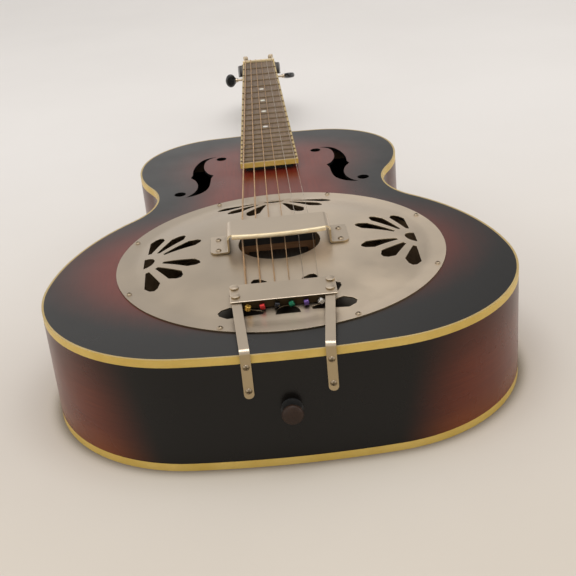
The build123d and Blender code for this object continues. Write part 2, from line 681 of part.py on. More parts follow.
def neck_blank():
    """Shaft, heel and headstock before any hole is made."""
    low = neck_section(neck_cut_plane(-(SCALE_LENGTH - HEEL_Y) - 3), board_half(-306) - 0.4, 18.5, 2)
    high = neck_section(neck_cut_plane(-14), board_half(-14) - 0.1, 16.0, 2)
    shaft = loft([low, high], ruled=True)
    at_nut = neck_section(neck_cut_plane(3), NUT_HALF, 15.6, 2.3)
    at_head = neck_section(head_cut_plane(15), 27.2, HEAD_THICK - OVERLAY, 6)
    flare = loft([high, at_nut, at_head])
    head = slab(head_outline(), -HEAD_THICK, -OVERLAY) & block(-60, 60, 14.6, 200, -60, 60)
    over = HEAD.location * block(-60, 60, 0, 200, -OVERLAY, 30)
    body_side = block(-60, 60, HEEL_Y - 80, HEEL_Y, 0, 2 * TOP_Z)
    above = NECK.location * block(-60, 60, -400, NUT_THICK + 0.2, -BOARD_TALL, 30)
    plate_seat = HEAD.location * block(-60, 60, 7, 200, -60, -HEAD_THICK)
    whole = shaft + heel() + flare + HEAD.location * head
    return drilled(whole, [over, body_side, above, plate_seat])


def truss_channel():
    """Slot for the truss rod, open at the headstock where its nut sits."""
    half, long = TRUSS_WINDOW
    slot = NECK.location * block(-3.2, 3.2, -300, 4, -BOARD_TALL - 9, -BOARD_TALL)
    pocket = HEAD.location * block(-half, half, -9, long, -10.5, 0.1)
    nut_room = NECK.location * bar(4.3, (0, -2.5, TRUSS_Z), (0, 32, TRUSS_Z))
    return [slot, pocket, nut_room]


def truss_rod():
    """Single-action rod under the board, anchored by a crosspiece near the heel."""
    rod = bar(2.5, (0, -297, TRUSS_Z), (0, 7.5, TRUSS_Z))
    return NECK.location * (rod + block(-3.1, 3.1, -298, -292, TRUSS_Z - 3.1, TRUSS_Z + 3.1))


def truss_rod_nut():
    """Brass nut with a hexagonal key socket, on the rod's free end."""
    body = bar(3.9, (0, -1.5, TRUSS_Z), (0, 13.5, TRUSS_Z)) - bar(2.56, (0, -2.0, TRUSS_Z), (0, 8.2, TRUSS_Z))
    mouth = Plane(origin=(0, 14, TRUSS_Z), z_dir=(0, -1, 0)).location
    return NECK.location * (body - mouth * extrude(RegularPolygon(2.6, 6), amount=5.5))


def post_holes():
    """Bores for the tuners' bushings, right through the headstock."""
    return at(HEAD, [bar(TUNER_HOLE, (x, v, -30), (x, v, 5)) for x, v in tuner_places()])


def neck():
    tools = [*truss_channel(), *post_holes(), *neck_bolts(), *tuner_screws(), *truss_cover_screws()]
    return drilled(neck_blank(), tools)


def neck_extension_block():
    """Dark wedge that carries the board over the body."""
    long = block(-24, 24, TAIL_Y, HEEL_Y, TOP_Z, TOP_Z + 40)
    under_board = NECK.location * block(-60, 60, -BOARD_LENGTH + 7, 0, -40, -BOARD_TALL)
    return long & under_board


def headstock_overlay():
    """Thin dark facing on the headstock."""
    half, long = TRUSS_WINDOW
    sheet = slab(head_outline(), -OVERLAY, 0) - block(-half, half, -9, long, -5, 1)
    return drilled(HEAD.location * sheet, [*post_holes(), *truss_cover_screws()])


def truss_rod_cover():
    """Small bell-shaped plate over the rod's nut."""
    side = Spline(*[(x, v) for v, x in TRUSS_COVER])
    tip = ThreePointArc((6.0, 31), (0, 36), (-6.0, 31))
    face = make_face(side + tip + mirror(side, about=Plane.YZ) + Line((-12.0, 0.6), (12.0, 0.6)))
    return drilled(HEAD.location * slab(face, 0, 1.8), truss_cover_screws())


def truss_cover_screws():
    places = [(-8.2, 3.6), (8.2, 3.6), (0, 31.5)]
    return at(HEAD, [Pos(x, v, 1.8) * dome_screw(1.7, 0.9, 0.9, 8) for x, v in places])


# ---------------------------------------------------------------- tuning machines
def tuner_places():
    """Post places in the headstock's own plane: bass side from the nut, then treble side from the nut."""
    return [(side * TUNER_X, v) for side in (-1, 1) for v in TUNER_V]


def gear():
    """Worm wheel about Z with helical teeth; a gap faces -Y at its mid plane."""
    slope = tan(radians(20))
    half = WORM_PITCH / 4 - TOOTH_PLAY
    root, tip = GEAR_PITCH_RADIUS - TOOTH_ROOT, GEAR_PITCH_RADIUS + TOOTH_TIP
    half_root, half_tip = half + TOOTH_ROOT * slope, half - TOOTH_TIP * slope
    points = []
    for k in range(GEAR_TEETH):
        middle = 2 * pi * k / GEAR_TEETH
        for radius, offset in ((root, -half_root), (tip, -half_tip), (tip, half_tip), (root, half_root)):
            angle = middle + offset / radius
            points.append((radius * cos(angle), radius * sin(angle)))
    twist = degrees(WORM_PITCH / (2 * pi * WORM_PITCH_RADIUS) * GEAR_WIDE / GEAR_PITCH_RADIUS)
    face = Rot(0, 0, -twist / 2) * make_face(Polyline(*points, close=True))
    low = Pos(0, 0, -GEAR_WIDE / 2) * face
    return Solid.extrude_linear_with_rotation(low.face(), (0, 0, -GEAR_WIDE / 2), (0, 0, GEAR_WIDE), twist)


def tuner_post():
    """String post with its worm wheel pressed on below and a retaining screw, about Z from the face."""
    low = GEAR_W - GEAR_WIDE / 2
    post = bar(POST_RADIUS, (0, 0, low), (0, 0, POST_WAIST_LOW))
    post += bar(POST_WAIST, (0, 0, POST_WAIST_LOW), (0, 0, POST_WAIST_HIGH))
    cap = bar(POST_RADIUS, (0, 0, POST_WAIST_HIGH), (0, 0, POST_TIP))
    cap = fillet(cap.edges().group_by(Axis.Z)[-1], 1.2)
    post = post + cap - bar(1.0, (0, -6, POST_WAIST_HIGH + 1.6), (0, 6, POST_WAIST_HIGH + 1.6))
    screw = Pos(0, 0, low) * Rot(180, 0, 0) * dome_screw(2.3, 1.2, 1.0, 2.0)
    return post + Pos(0, 0, GEAR_W) * gear() + screw


def worm():
    """Right-hand worm along Z, centred on the origin, with a crest facing +X at its middle."""
    slope = tan(radians(20))
    half = WORM_PITCH / 4 - TOOTH_PLAY
    inner, outer = WORM_PITCH_RADIUS - 0.8, WORM_PITCH_RADIUS + TOOTH_TIP
    path = Helix(WORM_PITCH, WORM_TURNS * WORM_PITCH, WORM_PITCH_RADIUS)
    section = Polyline((inner, half + 0.8 * slope), (outer, half - TOOTH_TIP * slope),
                       (outer, -half + TOOTH_TIP * slope), (inner, -half - 0.8 * slope), close=True)
    thread = sweep(Plane.XZ * make_face(section), path=path, is_frenet=True)
    core = bar(WORM_PITCH_RADIUS - 0.6, (0, 0, -1.0), (0, 0, WORM_TURNS * WORM_PITCH + 1.0))
    return Pos(0, 0, -WORM_TURNS * WORM_PITCH / 2) * (core + thread)


def tuner_knob(place_x, place_v, turn, worm_solid):
    """Button, ferrule, shaft and worm as one turning piece, in the headstock's own axes."""
    side = -1 if place_x < 0 else 1
    v, w = place_v - CENTRE_DISTANCE, GEAR_W
    along_x = Plane(origin=(place_x, v, w), x_dir=(0, 1, 0), z_dir=(1, 0, 0)).location
    shaft = bar(SHAFT_RADIUS, (place_x - side * 7.0, v, w), (side * (BUTTON_START + 2), v, w))
    ferrule = bar(2.7, (side * (BUTTON_START - 2.2), v, w), (side * BUTTON_START, v, w))
    oval = extrude(Ellipse(BUTTON_LONG / 2, BUTTON_HALF), amount=BUTTON_THICK / 2, both=True)
    oval = fillet(oval.edges(), 2.8)
    button = Pos(side * (BUTTON_START + BUTTON_LONG / 2), v, w) * Rot(turn, 0, 0) * oval
    metal = along_x * worm_solid + shaft + ferrule
    return group([metal - button, button])


def tuner_plate(side):
    """Strip with three pairs of bent lugs that carry the worm shafts."""
    reach = LUG_OFFSET + LUG_THICK / 2
    strip = block(TUNER_X - reach, TUNER_X + reach, 8.5, 103, -HEAD_THICK - TUNER_PLATE, -HEAD_THICK)
    strip = fillet(strip.edges().filter_by(Axis.Z), 3.0)
    for post_v in TUNER_V:
        v = post_v - CENTRE_DISTANCE
        for x in (TUNER_X - LUG_OFFSET, TUNER_X + LUG_OFFSET):
            x0, x1 = x - LUG_THICK / 2, x + LUG_THICK / 2
            strip += block(x0, x1, v - LUG_HALF, v + LUG_HALF, GEAR_W, -HEAD_THICK)
            strip += bar(LUG_HALF, (x0, v, GEAR_W), (x1, v, GEAR_W))
        strip -= bar(SHAFT_RADIUS + RUNNING_ROOM, (0, v, GEAR_W), (40, v, GEAR_W))
        strip -= bar(POST_RADIUS + RUNNING_ROOM, (TUNER_X, post_v, -40), (TUNER_X, post_v, 0))
    if side < 0:
        strip = mirror(strip, about=Plane.YZ)
    return drilled(HEAD.location * strip, tuner_screws())


def tuner_screws():
    """Four small screws through each plate."""
    face = Plane(origin=(0, 0, -HEAD_THICK - TUNER_PLATE), x_dir=(1, 0, 0), z_dir=(0, 0, -1))
    places = [(side * TUNER_X, v) for side in (-1, 1) for v in (30.5, 66.5, 99.0)]
    return at(HEAD, [Pos(x, v, 0) * face.location * dome_screw(1.9, 1.1, 1.1, 8) for x, v in places])


def tuner_bushings():
    """Flanged sleeves pressed into the face round each post."""
    sleeves = []
    for x, v in tuner_places():
        sleeve = bar(TUNER_HOLE, (x, v, -9), (x, v, 0)) + bar(6.2, (x, v, 0), (x, v, 1.2))
        sleeves.append(sleeve - bar(POST_RADIUS + RUNNING_ROOM, (x, v, -20), (x, v, 20)))
    return group(at(HEAD, sleeves))


# ---------------------------------------------------------------- strings
def winding(post, radius, turns):
    """Where a string's turns round its post start, which way the string arrives, and the turns themselves."""
    x, v = tuner_places()[post]
    inward = 1 if x < 0 else -1
    reach = POST_WAIST + 0.05 + radius
    pitch = 2.08 * radius
    height = POST_WAIST_LOW + 0.15 + radius + turns * pitch
    base = Plane(origin=(x, v, height), x_dir=(inward, 0, 0), z_dir=(0, 0, -1))
    helix = Helix(pitch, turns * pitch, reach, lefthand=x < 0)
    path = HEAD.location * (base.location * helix)
    coil = sweep(Plane(origin=path @ 0, z_dir=path % 0) * Circle(radius), path=path, is_frenet=True)
    return path @ 0, path % 0, coil


def string(index):
    """One string: from its ball end over the saddle and the nut, then round its post."""
    radius = STRING_RADII[index]
    tail_x, tail_w = tail_string_places()[index]
    ball = TAIL.from_local_coords(Vector(tail_x, BALL_V + BALL_RADIUS, tail_w))
    on_saddle = Vector(spread(SADDLE_SPREAD)[index], 0, SADDLE_STRING_Z + radius)
    nut_x = spread(NUT_SPREAD)[index]
    past_nut = NECK.from_local_coords(Vector(nut_x, NUT_THICK + 0.6, NUT_STRING_RISE + radius))
    start, arrives, coil = winding(STRING_POSTS[index], radius, WINDING_TURNS[index])
    route = FilletPolyline(ball, on_saddle, past_nut, start - arrives * 4, start, radius=[12, 8, 8])
    return sweep(Plane(origin=route @ 0, z_dir=route % 0) * Circle(radius), path=route) + coil


# ---------------------------------------------------------------- all nodes
def single_nodes():
    return {
        "top": top(),
        "back": slab(body_outline(BINDING_WIDE), 0, PLATE),
        "sides": sides(),
        "front_binding": ring_of(0, BINDING_WIDE, TOP_Z - BINDING_TALL, TOP_Z),
        "back_binding": ring_of(0, BINDING_WIDE, 0, BINDING_TALL),
        "linings": linings(),
        "neck_block": drilled(inside_body() & neck_block_room(), neck_bolts()),
        "tail_block": drilled(inside_body() & tail_block_room(), [*arm_screws(), end_pin()]),
        "braces": braces(),
        "soundwell": soundwell(),
        "cone": cone(),
        "biscuit": biscuit(),
        "biscuit_screw": biscuit_screw(),
        "saddle": saddle(),
        "saddle_cap": saddle_cap(),
        "coverplate": coverplate(),
        "coverplate_screws": group(cover_screws()),
        "handrest": handrest(),
        "handrest_screws": group(handrest_screws()),
        "tailpiece_plate": tailpiece_plate(),
        "tailpiece_arms": group([tailpiece_arm(-1), tailpiece_arm(1)]),
        "tailpiece_rivets": group(tailpiece_rivets()),
        "tailpiece_screws": group(arm_screws()),
        "end_pin": end_pin(),
        "end_pin_collar": end_pin_collar(),
        "neck": neck(),
        "neck_extension_block": neck_extension_block(),
        "neck_bolts": group(neck_bolts()),
        "fingerboard": fingerboard(),
        "fingerboard_binding": fingerboard_binding(),
        "frets": group(at(NECK, frets())),
        "position_dots": group(at(NECK, dots())),
        "nut": nut(),
        "headstock_overlay": headstock_overlay(),
        "truss_rod": truss_rod(),
        "truss_rod_nut": truss_rod_nut(),
        "truss_rod_cover": truss_rod_cover(),
        "truss_cover_screws": group(truss_cover_screws()),
        "string_ball_ends": string_ball_ends(),
        "tuner_plates": group([tuner_plate(-1), tuner_plate(1)]),
        "tuner_bushings": tuner_bushings(),
        "tuner_screws": group(tuner_screws()),
    }


def numbered_nodes():
    """Strings from the low E, and tuners: bass side from the nut, then treble side from the nut."""
    nodes = {f"string_{6 - i}": string(i) for i in range(6)}
    worm_solid, post = worm(), tuner_post()
    for i, (x, v) in enumerate(tuner_places()):
        nodes[f"tuner_post_{i + 1}"] = HEAD.location * Pos(x, v, 0) * post
        nodes[f"tuner_knob_{i + 1}"] = HEAD.location * tuner_knob(x, v, BUTTON_TURNS[i], worm_solid)
    return nodes


os.makedirs("parts", exist_ok=True)
for name, shape in {**single_nodes(), **numbered_nodes()}.items():
    export_step(shape, f"parts/{name}.step")
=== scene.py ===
import math

import bpy
import numpy as np
from mathutils import Matrix, Vector


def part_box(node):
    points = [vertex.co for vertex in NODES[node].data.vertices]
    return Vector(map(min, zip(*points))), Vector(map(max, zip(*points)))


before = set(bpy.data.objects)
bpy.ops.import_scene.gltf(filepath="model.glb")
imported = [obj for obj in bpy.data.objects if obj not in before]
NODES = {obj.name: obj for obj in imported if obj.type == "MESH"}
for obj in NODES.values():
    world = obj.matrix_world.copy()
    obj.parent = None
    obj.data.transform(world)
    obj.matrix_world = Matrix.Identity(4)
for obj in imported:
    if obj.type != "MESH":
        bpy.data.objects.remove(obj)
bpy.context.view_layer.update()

MM = 0.001


# ---------------------------------------------------------------- shading helpers
def fill_ramp(ramp, stops):
    """Gives a colour ramp these stops, each a position and a colour."""
    while len(ramp.elements) < len(stops):
        ramp.elements.new(0.5)
    for element, (position, colour) in zip(ramp.elements, stops):
        element.position = position
        element.color = (*colour, 1.0)


class Shader:
    """A material's nodes, built with short calls that each return an output socket."""

    def __init__(self, name):
        self.material = bpy.data.materials.new(name)
        self.material.use_nodes = True
        self.tree = self.material.node_tree
        self.bsdf = self.tree.nodes["Principled BSDF"]
        coordinates = self.tree.nodes.new("ShaderNodeTexCoord")
        self.place = coordinates.outputs["Object"]

    def add(self, kind, **settings):
        node = self.tree.nodes.new("ShaderNode" + kind)
        for key, value in settings.items():
            setattr(node, key, value)
        return node

    def feed(self, socket, value):
        if isinstance(value, bpy.types.NodeSocket):
            self.tree.links.new(value, socket)
        elif isinstance(value, tuple) and socket.type == "RGBA":
            socket.default_value = (*value[:3], 1.0)
        else:
            socket.default_value = value

    def math(self, operation, a, b=0.0, c=0.0):
        node = self.add("Math", operation=operation)
        for socket, value in zip(node.inputs, (a, b, c)):
            self.feed(socket, value)
        return node.outputs[0]

    def vector(self, operation, a, b=(0, 0, 0)):
        node = self.add("VectorMath", operation=operation)
        self.feed(node.inputs[0], a)
        self.feed(node.inputs[1], b)
        return node.outputs["Value" if operation == "LENGTH" else "Vector"]

    def stretch(self, scale):
        """Object coordinates, scaled for a texture."""
        node = self.add("Mapping")
        self.feed(node.inputs["Vector"], self.place)
        node.inputs["Scale"].default_value = scale
        return node.outputs["Vector"]

    def noise(self, vector, scale, detail=3.0, rough=0.5):
        node = self.add("TexNoise")
        self.feed(node.inputs["Vector"], vector)
        node.inputs["Scale"].default_value = scale
        node.inputs["Detail"].default_value = detail
        node.inputs["Roughness"].default_value = rough
        return node.outputs["Fac"]

    def span(self, value, low, high, to_low=0.0, to_high=1.0, smooth=False):
        node = self.add("MapRange", interpolation_type="SMOOTHSTEP" if smooth else "LINEAR")
        for key, number in (("Value", value), ("From Min", low), ("From Max", high),
                            ("To Min", to_low), ("To Max", to_high)):
            self.feed(node.inputs[key], number)
        return node.outputs["Result"]

    def mix(self, factor, a, b, blend="MIX"):
        node = self.add("Mix", data_type="RGBA", blend_type=blend)
        self.feed(node.inputs["Factor"], factor)
        self.feed(node.inputs[6], a)
        self.feed(node.inputs[7], b)
        return node.outputs[2]

    def ramp(self, factor, stops, interpolation="LINEAR"):
        node = self.add("ValToRGB")
        self.feed(node.inputs["Fac"], factor)
        node.color_ramp.interpolation = interpolation
        fill_ramp(node.color_ramp, stops)
        return node.outputs["Color"]

    def xyz(self):
        node = self.add("SeparateXYZ")
        self.feed(node.inputs[0], self.place)
        return node.outputs

    def facing_up(self):
        """1 where a face is level, up or down, and 0 where it is upright."""
        split = self.add("SeparateXYZ")
        self.feed(split.inputs[0], self.add("NewGeometry").outputs["True Normal"])
        return self.math("ABSOLUTE", split.outputs[2])

    def bump(self, height, distance, strength=1.0, normal=None):
        node = self.add("Bump")
        node.inputs["Strength"].default_value = strength
        node.inputs["Distance"].default_value = distance
        self.feed(node.inputs["Height"], height)
        if normal is not None:
            self.feed(node.inputs["Normal"], normal)
        return node.outputs["Normal"]

    def edges(self, radius):
        """Shading normal softened over the edges, as if each had this radius."""
        node = self.add("Bevel", samples=6)
        node.inputs["Radius"].default_value = radius
        return node.outputs["Normal"]

    def open_air(self, distance):
        """1 in the open and 0 in tight corners, where other pieces stand within the distance."""
        node = self.add("AmbientOcclusion", samples=8)
        node.inputs["Distance"].default_value = distance
        return node.outputs["AO"]

    def surface(self, **sockets):
        for key, value in sockets.items():
            self.feed(self.bsdf.inputs[key.replace("_", " ")], value)
        return self.material


def coat(mesh, *materials):
    """Gives a mesh these materials, all its faces the first of them."""
    mesh.materials.clear()
    for material in materials:
        mesh.materials.append(material)


def paint(material, *names):
    """Gives CAD nodes one material."""
    for name in names:
        coat(NODES[name].data, material)


def halfway(first, second):
    return tuple((a + b) / 2 for a, b in zip(first, second))


def shade(colour, share):
    return tuple(c * share for c in colour)


# ---------------------------------------------------------------- materials
# Ovals that the sunburst's red fills, each a centre and its radii along X and Y, in metres.
BURST_LOWER = ((-0.010, 0.0), (0.158, 0.112))
BURST_UPPER = ((0, 0.232), (0.082, 0.062))
BURST_WAIST = ((0, 0.13), (0.070, 0.100))
BURST_BLEND = 0.05
BURST_RED = (0.150, 0.018, 0.007)
BURST_BROWN = (0.045, 0.009, 0.005)
BURST_BLACK = (0.0045, 0.0038, 0.0032)


def oval(shader, centre, radii):
    """Rough distance in metres from an oval in plan, minus inside."""
    mean = (radii[0] + radii[1]) / 2
    flat = shader.vector("MULTIPLY", shader.place, (1 / radii[0], 1 / radii[1], 0))
    away = shader.vector("SUBTRACT", flat, (centre[0] / radii[0], centre[1] / radii[1], 0))
    length = shader.vector("LENGTH", away)
    return shader.math("MULTIPLY", shader.math("SUBTRACT", length, 1.0), mean)


def burst_field(shader):
    """How far a point is outside the bright middle of the sunburst, in metres."""
    lower = oval(shader, *BURST_LOWER)
    upper = oval(shader, *BURST_UPPER)
    waist = oval(shader, *BURST_WAIST)
    both = shader.math("SMOOTH_MIN", lower, upper, BURST_BLEND)
    return shader.math("SMOOTH_MIN", both, waist, BURST_BLEND)


def grain(shader, scale=(60, 4, 60)):
    """Fine streaks over broader ones, longest along the axis with the smallest scale."""
    fine = shader.noise(shader.stretch(scale), 9.0, 6.0, 0.62)
    broad = shader.noise(shader.stretch((scale[0] * 0.2, scale[1] * 0.3, scale[2] * 0.2)), 5.0, 3.0)
    return shader.math("ADD", shader.math("MULTIPLY", fine, 0.7), shader.math("MULTIPLY", broad, 0.3))


def lacquered(shader, colour, height, roughness=0.30, coat=0.08, gloss=0.40):
    """Satin lacquer over wood."""
    wander = shader.noise(shader.stretch((1, 1, 1)), 26.0, 3.0)
    return shader.surface(
        Base_Color=colour,
        Roughness=shader.span(wander, 0.3, 0.7, roughness - 0.03, roughness + 0.05),
        Specular_IOR_Level=gloss,
        Coat_Weight=coat,
        Coat_Roughness=0.22,
        Normal=shader.bump(height, 0.00012, 0.35),
    )


def burst_wood(name):
    """Top and back: red round the middle, black at the rim and on cut edges."""
    shader = Shader(name)
    streaks = grain(shader)
    field = shader.math("ADD", burst_field(shader), shader.span(streaks, 0.3, 0.7, -0.004, 0.004))
    red = shader.mix(shader.span(streaks, 0.35, 0.65), (0.105, 0.012, 0.005), BURST_RED)
    inner = shader.mix(shader.span(field, -0.03, 0.012, smooth=True), red, BURST_BROWN)
    colour = shader.mix(shader.span(field, -0.004, 0.034, smooth=True), inner, BURST_BLACK)
    flat = shader.span(shader.facing_up(), 0.3, 0.7)
    return lacquered(shader, shader.mix(flat, (0.003, 0.003, 0.003), colour), streaks)


def side_wood():
    """Sides: black round the tail and the neck, red-brown over the bouts, with painted light making them
    lighter and more orange low down.
    """
    shader = Shader("side_wood")
    streaks = grain(shader, (4, 4, 90))
    x, y, z = shader.xyz()
    across = shader.math("ABSOLUTE", shader.math("ADD", x, 0.012))
    lift = shader.span(z, 0.010, 0.085, 0.0, 0.014)
    tail = shader.span(shader.math("SUBTRACT", across, lift), 0.084, 0.140, smooth=True)
    body = shader.span(y, 0.250, 0.320, 1.0, 0.0, smooth=True)
    past_tail = shader.span(y, -0.07, 0.02, smooth=True)
    along = shader.math("MULTIPLY", shader.math("MAXIMUM", tail, past_tail), body)
    glow = shader.math("MULTIPLY", along, shader.span(z, 0.045, 0.088, 1.0, 0.55, smooth=True))
    red = shader.mix(shader.span(streaks, 0.35, 0.65), (0.088, 0.014, 0.004), (0.124, 0.023, 0.007))
    # painted light: lighter and more orange low down, near the floor
    red = shader.mix(shader.span(z, 0.004, 0.032, 0.34, 0.0, smooth=True), red, (0.240, 0.065, 0.010))
    colour = shader.mix(glow, BURST_BLACK, red)
    return lacquered(shader, colour, streaks, 0.28, 0.18, 0.20)


def neck_wood():
    """Neck: red-brown along the shaft, darker into the heel and the headstock."""
    shader = Shader("neck_wood")
    streaks = grain(shader, (60, 3, 60))
    y = shader.xyz()[1]
    heel = shader.span(y, 0.335, 0.43, 1.0, 0.0, smooth=True)
    head = shader.span(y, 0.58, 0.66, smooth=True)
    dark = shader.math("MAXIMUM", heel, head)
    red = shader.mix(shader.span(streaks, 0.3, 0.7), (0.060, 0.016, 0.008), (0.095, 0.026, 0.012))
    colour = shader.mix(dark, red, BURST_BLACK)
    return lacquered(shader, colour, streaks, 0.36)


def plain_wood(name, dark, light, scale, roughness, pores=0.0002):
    """Unlacquered wood. scale is the grain's fineness along each axis."""
    shader = Shader(name)
    streaks = grain(shader, scale)
    colour = shader.ramp(streaks, [(0.32, dark), (0.5, halfway(dark, light)), (0.68, light)])
    return shader.surface(
        Base_Color=colour,
        Roughness=shader.span(streaks, 0.3, 0.7, roughness + 0.08, roughness - 0.05),
        Specular_IOR_Level=0.3,
        Normal=shader.bump(streaks, pores, 0.6),
    )


def rosewood():
    """Fingerboard: open pores, worn patches and painted shadow along the frets."""
    shader = Shader("rosewood")
    streaks = grain(shader, (110, 5, 60))
    pores = shader.noise(shader.stretch((900, 60, 900)), 1.0, 2.0, 0.7)
    wear = shader.noise(shader.stretch((12, 30, 12)), 1.0, 3.0)
    tones = [(0.30, (0.100, 0.058, 0.030)), (0.5, (0.170, 0.108, 0.062)), (0.7, (0.235, 0.158, 0.098))]
    wood = shader.ramp(streaks, tones)
    worn = shader.mix(shader.span(wear, 0.45, 0.7, 0.0, 0.35), wood, (0.270, 0.195, 0.125))
    colour = shader.mix(shader.span(pores, 0.62, 0.72), worn, (0.022, 0.012, 0.008))
    # painted shadow: a dark band where the board meets each fret
    fret_shadow = shader.span(shader.open_air(0.006), 0.60, 0.95, 0.95, 0.0, smooth=True)
    colour = shader.mix(fret_shadow, colour, (0.020, 0.012, 0.006))
    return shader.surface(
        Base_Color=colour,
        Roughness=shader.span(streaks, 0.3, 0.7, 0.56, 0.44),
        Normal=shader.bump(pores, 0.0002, 0.5),
    )


def nickel(name, colour=(0.67, 0.56, 0.435), roughness=0.36, edge=0.00035, turned=False):
    """Satin metal with faint marks, with painted light making it darker and yellower where it stands
    upright, and painted shade in tight corners.

    turned adds the fine rings of spun metal and a painted highlight, brighter towards +X.
    """
    shader = Shader(name)
    cloud = shader.noise(shader.stretch((1, 1, 1)), 22.0, 4.0)
    speck = shader.noise(shader.stretch((1, 1, 1)), 2600.0, 2.0)
    tone = shader.mix(shader.span(cloud, 0.35, 0.65), shade(colour, 0.90), colour)
    # painted light: upright faces darker and yellower
    upright = shader.span(shader.facing_up(), 0.1, 0.5, 1.0, 0.0)
    tone = shader.mix(upright, tone, shader.mix(1.0, tone, (0.70, 0.66, 0.52), "MULTIPLY"))
    # painted shade: darker where other pieces stand close
    corner_shade = shader.span(shader.open_air(0.012), 0.25, 0.80, 0.85, 0.0, smooth=True)
    tone = shader.mix(corner_shade, tone, (0.060, 0.045, 0.030))
    height = speck
    if turned:
        # painted highlight: brighter towards the treble side
        tone = treble_side_light(shader, tone)
        height = shader.math("MULTIPLY", speck, 0.5)
        height = shader.math("ADD", shader.math("MULTIPLY", lathe_rings(shader), 0.7), height)
    return shader.surface(
        Base_Color=tone,
        Metallic=1.0,
        Roughness=shader.span(cloud, 0.3, 0.7, roughness - 0.04, roughness + 0.06),
        Normal=shader.bump(height, 0.00002, 0.5, shader.edges(edge)),
    )


def treble_side_light(shader, tone):
    """The tone, with painted light: darker on the bass side and brighter on the treble side."""
    light_share = shader.add("CombineXYZ")
    level = shader.span(shader.xyz()[0], -0.08, 0.12, 0.82, 1.38, smooth=True)
    for socket in light_share.inputs:
        shader.feed(socket, level)
    return shader.mix(1.0, tone, light_share.outputs[0], "MULTIPLY")


def lathe_rings(shader):
    """Uneven fine rings about the Z axis."""
    x, y, _ = shader.xyz()
    squares = [shader.math("MULTIPLY", value, value) for value in (x, y)]
    radius = shader.math("SQRT", shader.math("ADD", *squares))
    along = shader.add("CombineXYZ")
    shader.feed(along.inputs[0], shader.math("MULTIPLY", radius, 1500.0))
    return shader.noise(along.outputs[0], 1.0, 2.0)


def celluloid():
    """Aged cream binding, with painted light: brighter and more amber where it faces sideways than where
    it lies level.
    """
    shader = Shader("celluloid")
    cloud = shader.noise(shader.stretch((1, 1, 1)), 40.0, 4.0)
    faint = shader.noise(shader.stretch((1, 1, 6)), 320.0, 3.0)
    # painted light: faces standing sideways get a brighter amber than level faces
    up = shader.span(shader.facing_up(), 0.2, 0.8)
    amber = shader.mix(shader.span(cloud, 0.35, 0.65), (0.57, 0.385, 0.085), (0.64, 0.45, 0.12))
    cream = shader.mix(shader.span(cloud, 0.35, 0.65), (0.40, 0.29, 0.115), (0.46, 0.34, 0.15))
    stain = shader.span(faint, 0.45, 0.75, 0.0, 0.25)
    aged = shader.mix(stain, shader.mix(up, amber, cream), (0.42, 0.28, 0.10))
    return shader.surface(
        Base_Color=aged,
        Roughness=shader.span(cloud, 0.3, 0.7, 0.30, 0.40),
        Subsurface_Weight=0.12,
        Subsurface_Radius=(0.002, 0.0012, 0.0006),
        Specular_IOR_Level=0.25,
        Normal=shader.bump(faint, 0.00005, 0.3, shader.edges(0.0002)),
    )


def plastic(name, colour, roughness, edge=0.0003):
    """Moulded or polished piece with light scuffs."""
    shader = Shader(name)
    cloud = shader.noise(shader.stretch((1, 1, 1)), 60.0, 3.0)
    scuff = shader.noise(shader.stretch((3, 1, 2)), 900.0, 3.0)
    light = tuple(min(1.0, c * 1.35 + 0.002) for c in colour)
    return shader.surface(
        Base_Color=shader.mix(shader.span(cloud, 0.35, 0.65), colour, light),
        Roughness=shader.span(scuff, 0.4, 0.7, roughness, roughness + 0.12),
        Coat_Weight=0.4,
        Coat_Roughness=0.1,
        Normal=shader.bump(scuff, 0.00002, 0.3, shader.edges(edge)),
    )


def wound(name, colour, pitch):
    """String wrapped with fine wire: turns show as ridges along its length, with painted shade in the
    grooves between them.
    """
    shader = Shader(name)
    y = shader.xyz()[1]
    turns = shader.math("SINE", shader.math("MULTIPLY", y, 2 * math.pi / pitch))
    cloud = shader.noise(shader.stretch((1, 1, 1)), 90.0, 3.0)
    tone = shader.mix(shader.span(cloud, 0.35, 0.7), shade(colour, 0.72), colour)
    return shader.surface(
        # painted shade in the grooves between the wire's turns
        Base_Color=shader.mix(shader.span(turns, -1.0, -0.3, 0.55, 0.0), tone, shade(colour, 0.25)),
        Metallic=1.0,
        Roughness=0.34,
        Normal=shader.bump(turns, pitch * 0.3, 0.8),
    )


def pearl():
    """Position dots: shell with a cloudy lustre."""
    shader = Shader("pearl")
    cells = shader.add("TexVoronoi", feature="SMOOTH_F1")
    shader.feed(cells.inputs["Vector"], shader.stretch((1, 1, 1)))
    cells.inputs["Scale"].default_value = 420.0
    cloud = shader.noise(shader.stretch((1, 1, 1)), 260.0, 4.0)
    tones = [(0.3, (0.50, 0.47, 0.38)), (0.5, (0.70, 0.65, 0.53)), (0.7, (0.60, 0.59, 0.52))]
    sheen = shader.ramp(cloud, tones)
    return shader.surface(
        Base_Color=shader.mix(0.35, sheen, cells.outputs["Color"], "SOFT_LIGHT"),
        Roughness=0.22,
        Coat_Weight=0.6,
        Coat_Roughness=0.08,
    )


# Ball ends from the thickest string to the thinnest: gold, red, black, green, purple and silver.
BALL_COLOURS = [(0.60, 0.36, 0.07), (0.38, 0.022, 0.020), (0.014, 0.014, 0.016),
                (0.010, 0.135, 0.070), (0.085, 0.045, 0.175), (0.55, 0.53, 0.50)]


